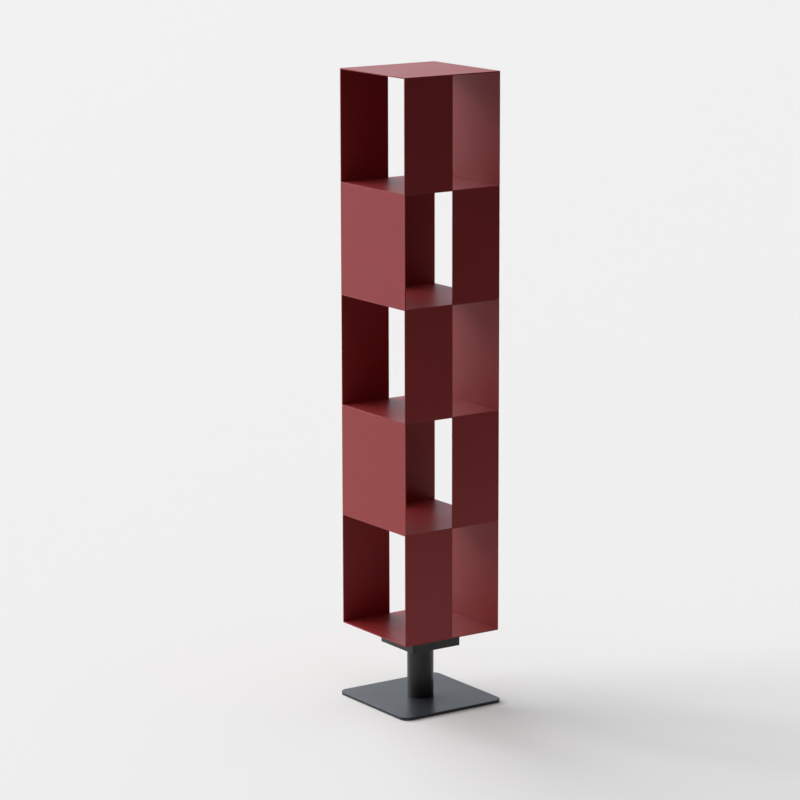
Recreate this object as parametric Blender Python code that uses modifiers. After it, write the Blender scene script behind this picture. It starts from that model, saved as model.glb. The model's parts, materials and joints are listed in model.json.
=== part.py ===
"""Rotating shelf: a tower of five open compartments that turns on a post and a square base plate.

Lengths are in metres and +Z is up. The origin is on the floor, on the axis of the post.
Type A compartments are open towards -X; type B compartments are the same, turned half round.
"""
import math

import bmesh
import bpy

# Tower of welded sheet steel
SHELF_WIDTH = 0.320  # side of every square plate
TOWER_HEIGHT = 1.600  # underside of the bottom plate to the upper face of the top plate
TIER_COUNT = 5
SHEET = 0.003  # thickness of the plates and panels
TAB_WIDTH = 0.050  # tabs that locate a panel in the edges of the plates

# Base and post
STAND_HEIGHT = 0.214  # floor to the underside of the tower
BASE_SIDE = 0.342
BASE_THICKNESS = 0.008
BASE_CORNER_RADIUS = 0.026
BASE_EDGE_BREAK = 0.0008
MAT_THICKNESS = 0.001  # anti-slip sheet under the base plate
MAT_INSET = 0.008  # how far the mat stays inside the plate's edge
MAT_HOLE_RADIUS = 0.046  # leaves the screws and the nut within reach
POST_RADIUS = 0.03805
POST_WALL = 0.003

# Turned pieces at the two ends of the post
HEAD_LENGTH = 0.030  # part of the head that is inside the post
HEAD_FLANGE = 0.006  # rim of the head that lies on the post's end
BUSH_SHOULDER = 0.003  # ledge that each bush stands on

# Spindle with its bushes, washer and nut
SPINDLE_RADIUS = 0.0125
SPINDLE_CHAMFER = 0.001
SPINDLE_ROOM = 0.001  # free space round the spindle where no bush guides it
THREAD_RADIUS = 0.008
THREAD_END = 0.002  # thread that stands out below the nut
BUSH_WALL = 0.0032
LOWER_BUSH_LENGTH = 0.012
WASHER_RADIUS = 0.015
WASHER_THICKNESS = 0.0025
WASHER_ROOM = 0.002  # free space round the washer in the foot
NUT_FLATS = 0.024
NUT_HEIGHT = 0.008
NUT_ROOM = 0.002  # free space round the nut in the base plate

# Thrust bearing that carries the tower
RACE_THICKNESS = 0.0045
RACE_WIDTH = 0.014  # from the lower race's bore to its rim
BALL_RADIUS = 0.004
BALL_COUNT = 12
BALL_SINK = 0.0016  # depth of the groove in each race
CAGE_WIDTH = 0.010
CAGE_THICKNESS = 0.0024

# Flange under the tower and the cover that hides the swivel
FLANGE_ROOM = 0.007  # from the flange's edges to the cover's walls
FLANGE_THICKNESS = 0.010
COVER_SIDE = 0.163
COVER_DEPTH = 0.0506
COVER_SHEET = 0.002
COVER_INNER_BEND = 0.001  # inside radius of the cover's bends

# Studs welded under the bottom plate, and the nuts that hold the cover and the flange on them
STUD_RADIUS = 0.004
STUD_FOOT_RADIUS = 0.0046  # the end that is welded to the plate
STUD_FOOT_HEIGHT = 0.001
STUD_END = 0.002  # thread that stands out below its nut
STUD_INSET = 0.020  # from the flange's edges to the studs
STUD_NUT_FLATS = 0.013
STUD_NUT_HEIGHT = 0.0065

# Countersunk screws and grub screws
SCREW_RADIUS = 0.004
SCREW_HEAD_RADIUS = 0.0075
SCREW_SINK = 0.0002  # how far a head lies below the surface
FOOT_SCREW_BITE = 0.016  # length of a foot screw inside the foot
FOOT_SCREW_COUNT = 4
SOCKET_RADIUS = 0.0028  # corner radius of the hexagonal sockets
SOCKET_DEPTH = 0.0025
GRUB_RADIUS = 0.003
GRUB_LENGTH = 0.008
GRUB_DROP = 0.010  # below the end of the post
GRUB_COUNT = 3
GRUB_SOCKET_RADIUS = 0.0017

# Clearances and smoothness
GAP = 0.0003  # between pieces that touch or fit in each other
CONE_GAP = 0.00045  # round a countersunk head
CUT_PAST = 0.010  # how far a cutter reaches out of what it cuts
ROUND_STEPS = 32
SCREW_STEPS = 16
CORNER_STEPS = 8
GROOVE_STEPS = 6
MERGE_DISTANCE = 0.00001

# Heights of the tower's plates and panels
TIER_PITCH = (TOWER_HEIGHT - SHEET) / TIER_COUNT
PANEL_HEIGHT = TIER_PITCH - SHEET - 2 * GAP
QUARTER = SHELF_WIDTH / 4  # middle of each half of a side, where the tabs are

# Heights of the base and the swivel, measured from the floor
BASE_BOTTOM = MAT_THICKNESS + GAP
BASE_TOP = BASE_BOTTOM + BASE_THICKNESS
POST_BOTTOM = BASE_TOP + GAP
COVER_TOP = STAND_HEIGHT - GAP
FLANGE_TOP = COVER_TOP - COVER_SHEET - GAP
FLANGE_BOTTOM = FLANGE_TOP - FLANGE_THICKNESS
UPPER_RACE_TOP = FLANGE_BOTTOM - GAP
UPPER_RACE_BOTTOM = UPPER_RACE_TOP - RACE_THICKNESS
BALL_HEIGHT = UPPER_RACE_BOTTOM + BALL_SINK - GAP - BALL_RADIUS
LOWER_RACE_TOP = 2 * BALL_HEIGHT - UPPER_RACE_BOTTOM
LOWER_RACE_BOTTOM = LOWER_RACE_TOP - RACE_THICKNESS
HEAD_TOP = LOWER_RACE_BOTTOM - GAP
POST_TOP = HEAD_TOP - HEAD_FLANGE - GAP
HEAD_BOTTOM = POST_TOP - HEAD_LENGTH
WASHER_POCKET_TOP = POST_BOTTOM + NUT_HEIGHT  # keeps the end of the spindle above the floor
LOWER_BUSH_BOTTOM = WASHER_POCKET_TOP + BUSH_SHOULDER + GAP
FOOT_TOP = LOWER_BUSH_BOTTOM + LOWER_BUSH_LENGTH
WASHER_TOP = WASHER_POCKET_TOP - GAP
WASHER_BOTTOM = WASHER_TOP - WASHER_THICKNESS
NUT_TOP = WASHER_BOTTOM - GAP
NUT_BOTTOM = NUT_TOP - NUT_HEIGHT
STUD_NUT_TOP = FLANGE_BOTTOM - GAP
STUD_BOTTOM = STUD_NUT_TOP - STUD_NUT_HEIGHT - STUD_END

# Radii and sides that follow from what fits in what
POST_BORE = POST_RADIUS - POST_WALL
PLUG_RADIUS = POST_BORE - GAP
BUSH_BORE = SPINDLE_RADIUS + GAP
BUSH_RADIUS = BUSH_BORE + BUSH_WALL
BUSH_SEAT_RADIUS = BUSH_RADIUS + GAP
SPINDLE_HOLE = SPINDLE_RADIUS + SPINDLE_ROOM
WASHER_POCKET_RADIUS = WASHER_RADIUS + WASHER_ROOM
NUT_RADIUS = NUT_FLATS / math.sqrt(3)
NUT_HOLE_RADIUS = NUT_RADIUS + NUT_ROOM
FOOT_SCREW_CIRCLE = (WASHER_POCKET_RADIUS + PLUG_RADIUS) / 2
RACE_BORE = BUSH_SEAT_RADIUS
RACE_RADIUS = RACE_BORE + RACE_WIDTH
BALL_CIRCLE = RACE_BORE + RACE_WIDTH / 2
COVER_BEND_RADIUS = COVER_SHEET + COVER_INNER_BEND
FLANGE_SIDE = COVER_SIDE - 2 * (COVER_SHEET + FLANGE_ROOM)
STUD_OFFSET = FLANGE_SIDE / 2 - STUD_INSET
STUD_HOLE_RADIUS = STUD_FOOT_RADIUS + GAP


def clear_scene():
    """Remove every object and collection of the scene."""
    for obj in list(bpy.data.objects):
        bpy.data.objects.remove(obj, do_unlink=True)
    for collection in list(bpy.data.collections):
        bpy.data.collections.remove(collection)


def new_collection(name):
    """Add an empty collection to the scene."""
    collection = bpy.data.collections.new(name)
    bpy.context.scene.collection.children.link(collection)
    return collection


def finish(name, colour, roughness, metallic):
    """Make a Principled material of one colour."""
    material = bpy.data.materials.new(name)
    material.use_nodes = True
    shader = material.node_tree.nodes["Principled BSDF"]
    shader.inputs["Base Color"].default_value = (*colour, 1.0)
    shader.inputs["Roughness"].default_value = roughness
    shader.inputs["Metallic"].default_value = metallic
    return material


clear_scene()
PARTS = new_collection("rotating_shelf")
CUTTERS = new_collection("rotating_shelf_cutters")

RED_PAINT = finish("red_powder_coat", (0.290, 0.028, 0.031), 0.42, 0.0)
BLACK_PAINT = finish("black_powder_coat", (0.020, 0.021, 0.022), 0.36, 0.0)
STEEL = finish("turned_steel", (0.560, 0.560, 0.550), 0.30, 1.0)
POLYMER = finish("bearing_polymer", (0.620, 0.590, 0.500), 0.55, 0.0)
RUBBER = finish("mat_rubber", (0.015, 0.015, 0.015), 0.85, 0.0)


def empty(name, parent=None, height=0.0, turn=0.0):
    """Add an empty on the post's axis, to carry pieces."""
    carrier = bpy.data.objects.new(name, None)
    carrier.parent = parent
    carrier.location = (0.0, 0.0, height)
    carrier.rotation_euler = (0.0, 0.0, turn)
    PARTS.objects.link(carrier)
    return carrier


def place(piece, material, parent, location=(0.0, 0.0, 0.0), rotation=(0.0, 0.0, 0.0)):
    """Give a piece its finish, its carrier and its place on the carrier."""
    piece.data.materials.append(material)
    piece.parent = parent
    piece.location = location
    piece.rotation_euler = rotation
    return piece


def add_object(name, data):
    """Add an object that holds a mesh or a curve."""
    obj = bpy.data.objects.new(name, data)
    PARTS.objects.link(obj)
    return obj


def as_cutter(obj):
    """Keep an object out of the model and show it as a wire."""
    PARTS.objects.unlink(obj)
    CUTTERS.objects.link(obj)
    obj.hide_render = True
    obj.display_type = "WIRE"
    return obj


def combine(obj, tool, operation="DIFFERENCE", solver="EXACT"):
    """Cut a tool out of an object, or join it to the object."""
    modifier = obj.modifiers.new(operation.lower(), "BOOLEAN")
    modifier.operation = operation
    modifier.object = tool
    modifier.solver = solver


def shaped_mesh(obj):
    """Return an object's mesh as its modifiers make it, with loose caps welded and faces turned out."""
    bpy.context.view_layer.update()
    depsgraph = bpy.context.evaluated_depsgraph_get()
    mesh = bpy.data.meshes.new_from_object(obj.evaluated_get(depsgraph))
    work = bmesh.new()
    work.from_mesh(mesh)
    bmesh.ops.remove_doubles(work, verts=work.verts, dist=MERGE_DISTANCE)
    bmesh.ops.recalc_face_normals(work, faces=work.faces)
    work.to_mesh(mesh)
    work.free()
    return mesh


def flat_piece(name, outlines, thickness):
    """Make a flat piece in the XY plane from closed outlines; inner outlines are holes."""
    curve = bpy.data.curves.new(name, "CURVE")
    curve.dimensions = "2D"
    curve.fill_mode = "BOTH"
    curve.extrude = thickness / 2
    for outline in outlines:
        spline = curve.splines.new("POLY")
        spline.points.add(len(outline) - 1)
        for point, (x, y) in zip(spline.points, outline):
            point.co = (x, y, 0.0, 1.0)
        spline.use_cyclic_u = True
    return add_object(name, curve)


def flat_mesh_piece(name, outlines, thickness):
    """Make a flat piece as a mesh, so that it can be cut."""
    curve = flat_piece(name, outlines, thickness)
    mesh = shaped_mesh(curve)
    bpy.data.objects.remove(curve, do_unlink=True)
    return add_object(name, mesh)


def turned_piece(name, profile, steps, ring=False):
    """Turn a profile of (radius, height) points, listed down its outer side, about Z."""
    mesh = bpy.data.meshes.new(name)
    count = len(profile)
    edges = [(index, index + 1) for index in range(count - 1)]
    if ring:
        edges.append((count - 1, 0))
    mesh.from_pydata([(radius, 0.0, height) for radius, height in profile], edges, [])
    obj = add_object(name, mesh)
    modifier = obj.modifiers.new("turn", "SCREW")
    modifier.steps = steps
    modifier.render_steps = steps
    modifier.use_merge_vertices = True
    modifier.merge_threshold = MERGE_DISTANCE
    modifier.use_smooth_shade = True
    return obj


def sleeve(name, bore, radius, bottom, top):
    """Turn a plain ring between two heights."""
    profile = [(bore, top), (radius, top), (radius, bottom), (bore, bottom)]
    return turned_piece(name, profile, ROUND_STEPS, ring=True)


def prism(name, radius, height, sides):
    """Make an upright prism or cylinder centred on the origin."""
    mesh = bpy.data.meshes.new(name)
    work = bmesh.new()
    bmesh.ops.create_cone(work, cap_ends=True, segments=sides, radius1=radius, radius2=radius, depth=height)
    work.to_mesh(mesh)
    work.free()
    return add_object(name, mesh)


def circle(radius, steps):
    """Points of a circle about the origin."""
    angles = [2 * math.pi * step / steps for step in range(steps)]
    return [(radius * math.cos(angle), radius * math.sin(angle)) for angle in angles]


def rounded_square(side, radius):
    """Points of a square about the origin with an arc at each corner."""
    reach = side / 2 - radius
    points = []
    for corner in range(4):
        start = corner * math.pi / 2
        middle_x = reach * math.sqrt(2) * math.cos(start + math.pi / 4)
        middle_y = reach * math.sqrt(2) * math.sin(start + math.pi / 4)
        for step in range(CORNER_STEPS + 1):
            angle = start + math.pi / 2 * step / CORNER_STEPS
            points.append((middle_x + radius * math.cos(angle), middle_y + radius * math.sin(angle)))
    return points


def stepped_side(length, places, width, step):
    """Points along one side from left to right, with a square step at each place (inwards is positive)."""
    points = [(-length / 2, 0.0)]
    for place_x in places:
        left = place_x - width / 2
        right = place_x + width / 2
        points += [(left, 0.0), (left, step), (right, step), (right, 0.0)]
    points.append((length / 2, 0.0))
    return points


def panel_outline(width, tab_places):
    """Outline of a panel that stands on y = 0, with tabs at its lower and upper edges."""
    lower = stepped_side(width, tab_places, TAB_WIDTH, -(SHEET + GAP))
    upper = [(x, PANEL_HEIGHT - y) for x, y in reversed(lower)]
    return lower + upper


def plate_outline(slot_places):
    """Outline of a square plate with slots for the tabs, for the sides at -Y, +X, +Y and -X."""
    points = []
    for side, places in enumerate(slot_places):
        turn = side * math.pi / 2
        side_points = stepped_side(SHELF_WIDTH, places, TAB_WIDTH + 2 * GAP, SHEET + GAP)
        for along, inward in side_points[:-1]:
            out = inward - SHELF_WIDTH / 2
            points.append((
                along * math.cos(turn) - out * math.sin(turn),
                along * math.sin(turn) + out * math.cos(turn),
            ))
    return points


def screw_profile(length, grow=0.0):
    """Outer side of a countersunk screw with its head's flat at z = 0, made larger for a cutter."""
    head = SCREW_HEAD_RADIUS + grow
    shank = SCREW_RADIUS + grow
    cone_end = -(SCREW_HEAD_RADIUS - SCREW_RADIUS)
    return [(head, 0.0), (shank, cone_end), (shank, -length), (0.0, -length)]


def screw_mesh(length):
    """Mesh of a countersunk screw with a hexagonal socket."""
    screw = turned_piece("screw", [(0.0, 0.0), *screw_profile(length)], SCREW_STEPS)
    socket = as_cutter(prism("screw_socket", SOCKET_RADIUS, 2 * SOCKET_DEPTH, 6))
    combine(screw, socket)
    mesh = shaped_mesh(screw)
    bpy.data.objects.remove(screw, do_unlink=True)
    return mesh


def screw_cutter(name, length):
    """Cutter for the hole of a countersunk screw, which reaches out past the head's flat."""
    profile = screw_profile(length, grow=CONE_GAP)
    head, _ = profile[0]
    return as_cutter(turned_piece(name, [(0.0, CUT_PAST), (head, CUT_PAST), *profile], SCREW_STEPS))


def nut_mesh(flats, height, bore):
    """Mesh of a hexagonal nut with its middle at the origin."""
    nut = prism("nut", flats / math.sqrt(3), height, 6)
    combine(nut, as_cutter(prism("nut_bore", bore, height + CUT_PAST, ROUND_STEPS)))
    mesh = shaped_mesh(nut)
    bpy.data.objects.remove(nut, do_unlink=True)
    return mesh


def ring_places(count, radius):
    """Angles and points at equal steps round the post, the first one on a diagonal."""
    places = []
    for index in range(count):
        angle = math.pi / 4 + 2 * math.pi * index / count
        places.append((angle, radius * math.cos(angle), radius * math.sin(angle)))
    return places


def make_base(stand):
    """Mat, base plate and the screws that hold the post's foot."""
    mat_side = BASE_SIDE - 2 * MAT_INSET
    mat_corner = max(BASE_CORNER_RADIUS - MAT_INSET, GAP)
    mat_outlines = [rounded_square(mat_side, mat_corner), circle(MAT_HOLE_RADIUS, ROUND_STEPS)]
    mat = flat_piece("floor_mat", mat_outlines, MAT_THICKNESS)
    place(mat, RUBBER, stand, (0.0, 0.0, MAT_THICKNESS / 2))

    plate_outlines = [rounded_square(BASE_SIDE, BASE_CORNER_RADIUS), circle(NUT_HOLE_RADIUS, ROUND_STEPS)]
    plate = flat_mesh_piece("base_plate", plate_outlines, BASE_THICKNESS)
    place(plate, BLACK_PAINT, stand, (0.0, 0.0, BASE_BOTTOM + BASE_THICKNESS / 2))
    edge_break = plate.modifiers.new("edge_break", "BEVEL")
    edge_break.width = BASE_EDGE_BREAK
    edge_break.segments = 2
    edge_break.limit_method = "ANGLE"
    edge_break.angle_limit = math.radians(40)

    head_height = BASE_BOTTOM + SCREW_SINK
    length = POST_BOTTOM + FOOT_SCREW_BITE - head_height
    mesh = screw_mesh(length)
    mesh.materials.append(STEEL)
    cutters = []
    for index, (_, x, y) in enumerate(ring_places(FOOT_SCREW_COUNT, FOOT_SCREW_CIRCLE), start=1):
        screw = add_object(f"foot_screw_{index}", mesh)
        cutter = screw_cutter(f"foot_screw_cutter_{index}", length + GAP)
        for obj in (screw, cutter):
            obj.parent = stand
            obj.location = (x, y, head_height)
            obj.rotation_euler = (math.pi, 0.0, 0.0)
        combine(plate, cutter, solver="MANIFOLD")
        cutters.append(cutter)
    return cutters


def make_post(stand, foot_cutters):
    """Tube with a turned foot and a turned head, which hold the two bushes."""
    foot_profile = [
        (BUSH_SEAT_RADIUS, FOOT_TOP),
        (PLUG_RADIUS, FOOT_TOP),
        (PLUG_RADIUS, POST_BOTTOM),
        (WASHER_POCKET_RADIUS, POST_BOTTOM),
        (WASHER_POCKET_RADIUS, WASHER_POCKET_TOP),
        (SPINDLE_HOLE, WASHER_POCKET_TOP),
        (SPINDLE_HOLE, WASHER_POCKET_TOP + BUSH_SHOULDER),
        (BUSH_SEAT_RADIUS, WASHER_POCKET_TOP + BUSH_SHOULDER),
    ]
    foot = place(turned_piece("post_foot", foot_profile, ROUND_STEPS, ring=True), STEEL, stand)
    for cutter in foot_cutters:
        combine(foot, cutter)

    tube = place(sleeve("post_tube", POST_BORE, POST_RADIUS, POST_BOTTOM, POST_TOP), BLACK_PAINT, stand)

    head_profile = [
        (BUSH_SEAT_RADIUS, HEAD_TOP),
        (POST_RADIUS, HEAD_TOP),
        (POST_RADIUS, POST_TOP + GAP),
        (PLUG_RADIUS, POST_TOP + GAP),
        (PLUG_RADIUS, HEAD_BOTTOM),
        (SPINDLE_HOLE, HEAD_BOTTOM),
        (SPINDLE_HOLE, HEAD_BOTTOM + BUSH_SHOULDER),
        (BUSH_SEAT_RADIUS, HEAD_BOTTOM + BUSH_SHOULDER),
    ]
    head = place(turned_piece("post_head", head_profile, ROUND_STEPS, ring=True), STEEL, stand)

    upper_bottom = HEAD_BOTTOM + BUSH_SHOULDER + GAP
    upper_top = LOWER_RACE_TOP - GAP
    place(sleeve("lower_bush", BUSH_BORE, BUSH_RADIUS, LOWER_BUSH_BOTTOM, FOOT_TOP), POLYMER, stand)
    place(sleeve("upper_bush", BUSH_BORE, BUSH_RADIUS, upper_bottom, upper_top), POLYMER, stand)
    make_grub_screws(stand, tube, head)


def make_grub_screws(stand, tube, head):
    """Grub screws through the tube's wall, which hold the head in the post."""
    screw = prism("grub_screw", GRUB_RADIUS, GRUB_LENGTH, SCREW_STEPS)
    socket = as_cutter(prism("grub_socket", GRUB_SOCKET_RADIUS, 2 * SOCKET_DEPTH, 6))
    socket.location = (0.0, 0.0, GRUB_LENGTH / 2)
    combine(screw, socket)
    mesh = shaped_mesh(screw)
    mesh.materials.append(STEEL)
    bpy.data.objects.remove(screw, do_unlink=True)

    height = POST_TOP - GRUB_DROP
    outer_end = POST_RADIUS - GAP
    hole_start = outer_end - GRUB_LENGTH - GAP
    hole_end = POST_RADIUS + CUT_PAST
    for index, (angle, x, y) in enumerate(ring_places(GRUB_COUNT, 1.0), start=1):
        grub = add_object(f"grub_screw_{index}", mesh)
        hole = as_cutter(prism(f"grub_hole_{index}", GRUB_RADIUS + GAP, hole_end - hole_start, SCREW_STEPS))
        middles = (outer_end - GRUB_LENGTH / 2, (hole_start + hole_end) / 2)
        for obj, middle in zip((grub, hole), middles):
            obj.parent = stand
            obj.location = (middle * x, middle * y, height)
            obj.rotation_euler = (0.0, math.pi / 2, angle)
        combine(tube, hole)
        combine(head, hole)


def race_profile(bore, radius, plain, grooved):
    """Profile of a race between its plain face and its grooved face, with room for the balls."""
    side = 1 if plain > grooved else -1
    groove_radius = BALL_RADIUS + GAP
    lip = math.asin(abs(grooved - BALL_HEIGHT) / groove_radius)
    groove = []
    for step in range(GROOVE_STEPS + 1):
        angle = lip + (math.pi - 2 * lip) * step / GROOVE_STEPS
        groove.append((
            BALL_CIRCLE + groove_radius * math.cos(angle),
            BALL_HEIGHT + side * groove_radius * math.sin(angle),
        ))
    profile = [(bore, plain), (radius, plain), (radius, grooved), *groove, (bore, grooved)]
    if side > 0:
        return profile
    return list(reversed(profile))


def make_bearing(stand, tower, cage_carrier):
    """Thrust bearing: two grooved races, and balls held in a cage between them."""
    lower_profile = race_profile(RACE_BORE, RACE_RADIUS, LOWER_RACE_BOTTOM, LOWER_RACE_TOP)
    place(turned_piece("lower_race", lower_profile, ROUND_STEPS, ring=True), STEEL, stand)

    upper_profile = race_profile(BUSH_BORE, RACE_RADIUS, UPPER_RACE_TOP, UPPER_RACE_BOTTOM)
    upper = turned_piece("upper_race", upper_profile, ROUND_STEPS, ring=True)
    place(upper, STEEL, tower, (0.0, 0.0, -STAND_HEIGHT))

    balls_mesh = bpy.data.meshes.new("balls")
    work = bmesh.new()
    for _, x, y in ring_places(BALL_COUNT, BALL_CIRCLE):
        ball = bmesh.ops.create_icosphere(work, subdivisions=2, radius=BALL_RADIUS)
        bmesh.ops.translate(work, verts=ball["verts"], vec=(x, y, 0.0))
    work.to_mesh(balls_mesh)
    work.free()
    balls = as_cutter(add_object("balls", balls_mesh))
    balls.parent = cage_carrier

    inner = BALL_CIRCLE - CAGE_WIDTH / 2
    outer = BALL_CIRCLE + CAGE_WIDTH / 2
    cage = sleeve("ball_cage", inner, outer, -CAGE_THICKNESS / 2, CAGE_THICKNESS / 2)
    place(cage, STEEL, cage_carrier)
    combine(cage, balls, "UNION")


def make_spindle(tower):
    """Spindle that hangs from the flange through both bushes, with its washer and nut."""
    drop = (0.0, 0.0, -STAND_HEIGHT)
    shoulder = WASHER_TOP + GAP
    end = NUT_BOTTOM - THREAD_END
    profile = [
        (0.0, FLANGE_TOP),
        (SPINDLE_RADIUS - SPINDLE_CHAMFER, FLANGE_TOP),
        (SPINDLE_RADIUS, FLANGE_TOP - SPINDLE_CHAMFER),
        (SPINDLE_RADIUS, shoulder),
        (THREAD_RADIUS, shoulder),
        (THREAD_RADIUS, end + SPINDLE_CHAMFER),
        (THREAD_RADIUS - SPINDLE_CHAMFER, end),
        (0.0, end),
    ]
    place(turned_piece("spindle", profile, ROUND_STEPS), STEEL, tower, drop)

    thread_bore = THREAD_RADIUS + GAP
    washer = sleeve("spindle_washer", thread_bore, WASHER_RADIUS, WASHER_BOTTOM, WASHER_TOP)
    place(washer, STEEL, tower, drop)

    nut = add_object("spindle_nut", nut_mesh(NUT_FLATS, NUT_HEIGHT, thread_bore))
    place(nut, STEEL, tower, (0.0, 0.0, NUT_TOP - NUT_HEIGHT / 2 - STAND_HEIGHT))


def make_cover_shell():
    """Inverted tray of folded sheet, open below, with its upper face at z = 0."""
    mesh = bpy.data.meshes.new("swivel_cover")
    work = bmesh.new()
    bmesh.ops.create_cube(work, size=1.0)
    bmesh.ops.scale(work, verts=work.verts, vec=(COVER_SIDE, COVER_SIDE, COVER_DEPTH))
    bmesh.ops.translate(work, verts=work.verts, vec=(0.0, 0.0, -COVER_DEPTH / 2))
    below = [face for face in work.faces if face.normal.z < -0.5]
    bmesh.ops.delete(work, geom=below, context="FACES_ONLY")
    folds = [edge for edge in work.edges if len(edge.link_faces) == 2]
    bmesh.ops.bevel(
        work, geom=folds, offset=COVER_BEND_RADIUS, segments=3, profile=0.5, affect="EDGES",
        clamp_overlap=True,
    )
    work.to_mesh(mesh)
    work.free()
    cover = add_object("swivel_cover", mesh)
    wall = cover.modifiers.new("wall", "SOLIDIFY")
    wall.thickness = COVER_SHEET
    wall.offset = -1.0
    wall.use_even_offset = True
    return cover


def make_swivel_head(tower):
    """Cover and flange under the bottom plate, hung on four studs with nuts."""
    cover = place(make_cover_shell(), BLACK_PAINT, tower, (0.0, 0.0, COVER_TOP - STAND_HEIGHT))

    half = FLANGE_SIDE / 2
    corners = [(-half, -half), (half, -half), (half, half), (-half, half)]
    hole = circle(SPINDLE_RADIUS + GAP, ROUND_STEPS)
    flange = flat_mesh_piece("spindle_flange", [corners, hole], FLANGE_THICKNESS)
    place(flange, STEEL, tower, (0.0, 0.0, FLANGE_BOTTOM + FLANGE_THICKNESS / 2 - STAND_HEIGHT))

    foot_end = -GAP - STUD_FOOT_HEIGHT
    stud_end = STUD_BOTTOM - STAND_HEIGHT
    stud_profile = [
        (0.0, -GAP),
        (STUD_FOOT_RADIUS, -GAP),
        (STUD_FOOT_RADIUS, foot_end),
        (STUD_RADIUS, foot_end),
        (STUD_RADIUS, stud_end),
        (0.0, stud_end),
    ]
    mesh = nut_mesh(STUD_NUT_FLATS, STUD_NUT_HEIGHT, STUD_RADIUS + GAP)
    mesh.materials.append(STEEL)
    nut_height = STUD_NUT_TOP - STUD_NUT_HEIGHT / 2 - STAND_HEIGHT
    hole_middle = (COVER_TOP + FLANGE_BOTTOM) / 2 - STAND_HEIGHT
    hole_length = COVER_TOP - FLANGE_BOTTOM + 2 * CUT_PAST
    signs = [(1, 1), (-1, 1), (-1, -1), (1, -1)]
    for index, (side_x, side_y) in enumerate(signs, start=1):
        x = side_x * STUD_OFFSET
        y = side_y * STUD_OFFSET
        stud = turned_piece(f"flange_stud_{index}", stud_profile, SCREW_STEPS)
        place(stud, STEEL, tower, (x, y, 0.0))
        nut = add_object(f"flange_nut_{index}", mesh)
        cutter = as_cutter(prism(f"stud_hole_{index}", STUD_HOLE_RADIUS, hole_length, SCREW_STEPS))
        for obj, height in ((nut, nut_height), (cutter, hole_middle)):
            obj.parent = tower
            obj.location = (x, y, height)
        for piece in (cover, flange):
            combine(piece, cutter)


def tier_turn(tier):
    """Turn of a compartment about Z: each second one is turned half round."""
    return math.pi if tier % 2 == 0 else 0.0


def make_plates(tower):
    """Bottom plate, shelf plates and top plate, slotted where panels stand on or hang from them."""
    both = (-QUARTER, QUARTER)
    end_slots = [(-QUARTER,), both, (QUARTER,), ()]
    shelf_slots = [both, both, both, both]
    middle = SHEET / 2
    bottom = flat_piece("bottom_plate", [plate_outline(end_slots)], SHEET)
    place(bottom, RED_PAINT, tower, (0.0, 0.0, middle))
    for level in range(1, TIER_COUNT):
        shelf = flat_piece(f"shelf_plate_{level}", [plate_outline(shelf_slots)], SHEET)
        place(shelf, RED_PAINT, tower, (0.0, 0.0, level * TIER_PITCH + middle))
    top = flat_piece("top_plate", [plate_outline(end_slots)], SHEET)
    top_height = TIER_COUNT * TIER_PITCH + middle
    place(top, RED_PAINT, tower, (0.0, 0.0, top_height), (0.0, 0.0, tier_turn(TIER_COUNT)))


def make_panels(tower):
    """One full panel and two half panels in every tier."""
    full = panel_outline(SHELF_WIDTH, (-QUARTER, QUARTER))
    half = panel_outline(SHELF_WIDTH / 2, (0.0,))
    wall_middle = SHELF_WIDTH / 2 - SHEET / 2
    upright = math.pi / 2
    for tier in range(1, TIER_COUNT + 1):
        carrier = empty(f"tier_{tier}", tower, (tier - 1) * TIER_PITCH + SHEET, tier_turn(tier))
        panel = flat_piece(f"full_panel_{tier}", [full], SHEET)
        place(panel, RED_PAINT, carrier, (wall_middle, 0.0, GAP), (upright, 0.0, upright))
        for letter, side in (("a", -1), ("b", 1)):
            panel = flat_piece(f"half_panel_{tier}{letter}", [half], SHEET)
            place(panel, RED_PAINT, carrier, (-QUARTER, side * wall_middle, GAP), (upright, 0.0, 0.0))


def make_shelf():
    """Put the whole shelf together on its three carriers."""
    stand = empty("stand")
    tower = empty("tower", height=STAND_HEIGHT)
    cage_carrier = empty("cage", height=BALL_HEIGHT)
    foot_cutters = make_base(stand)
    make_post(stand, foot_cutters)
    make_bearing(stand, tower, cage_carrier)
    make_spindle(tower)
    make_swivel_head(tower)
    make_plates(tower)
    make_panels(tower)


make_shelf()
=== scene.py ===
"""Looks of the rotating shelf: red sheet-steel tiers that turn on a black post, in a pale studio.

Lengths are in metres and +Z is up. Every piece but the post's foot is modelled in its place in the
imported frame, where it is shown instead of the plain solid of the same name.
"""

import json
import math

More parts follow.
